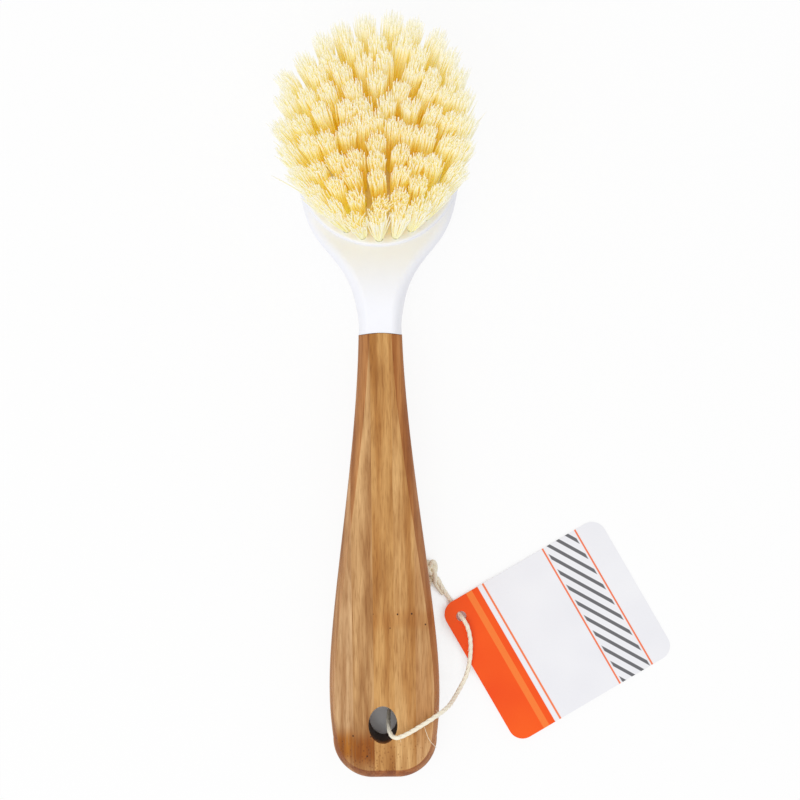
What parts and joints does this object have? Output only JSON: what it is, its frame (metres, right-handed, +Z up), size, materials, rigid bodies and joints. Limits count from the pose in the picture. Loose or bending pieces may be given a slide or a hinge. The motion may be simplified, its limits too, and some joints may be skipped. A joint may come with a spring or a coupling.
{
  "type": "dish brush",
  "caption": "Dish brush with a laminated bamboo handle, a white moulded head with splayed cream bristle tufts, and a card tag on a string through the hang hole.",
  "frame": {"origin": "middle of the brush's footprint on the table, without the string and tag", "axes": "+Y along the brush towards the head, +Z up towards the bristle tips, brush lying on its back"},
  "size_m": [0.1295, 0.2518, 0.0614],
  "materials": {
    "bamboo": "oiled, satin",
    "head_plastic": "fine satin moulding",
    "bristle": "cut filaments",
    "anchor_wire": "plain wire",
    "twine": "twisted natural fibre",
    "card": "coated paper card"
  },
  "bodies": {
    "brush": {"handle_strip_far_left": "bamboo", "handle_strip_left": "bamboo", "handle_strip_middle": "bamboo", "handle_strip_right": "bamboo", "handle_strip_far_right": "bamboo", "head": "head_plastic", "tuft_middle": "bristle", "tuft_ring_1": "bristle", "tuft_ring_2": "bristle", "tuft_ring_3": "bristle", "tuft_ring_4": "bristle", "tuft_ring_5": "bristle", "tuft_anchors": "anchor_wire"},
    "string_loop": {"tag_string": "twine", "string_knot": "twine"},
    "tag": {"tag_card": "card"}
  },
  "joints": [
    {"name": "string_swing", "type": "hinge", "parent": "brush", "child": "string_loop", "pos_m": [0.0013, -0.107, 0.008], "axis": [0, 0, 1], "range_deg": [-8, 4]},
    {"name": "tag_swivel", "type": "hinge", "parent": "string_loop", "child": "tag", "pos_m": [0.0263, -0.0725, 0.0027], "axis": [0, 0, 1], "range_deg": [-8, 20]}
  ]
}
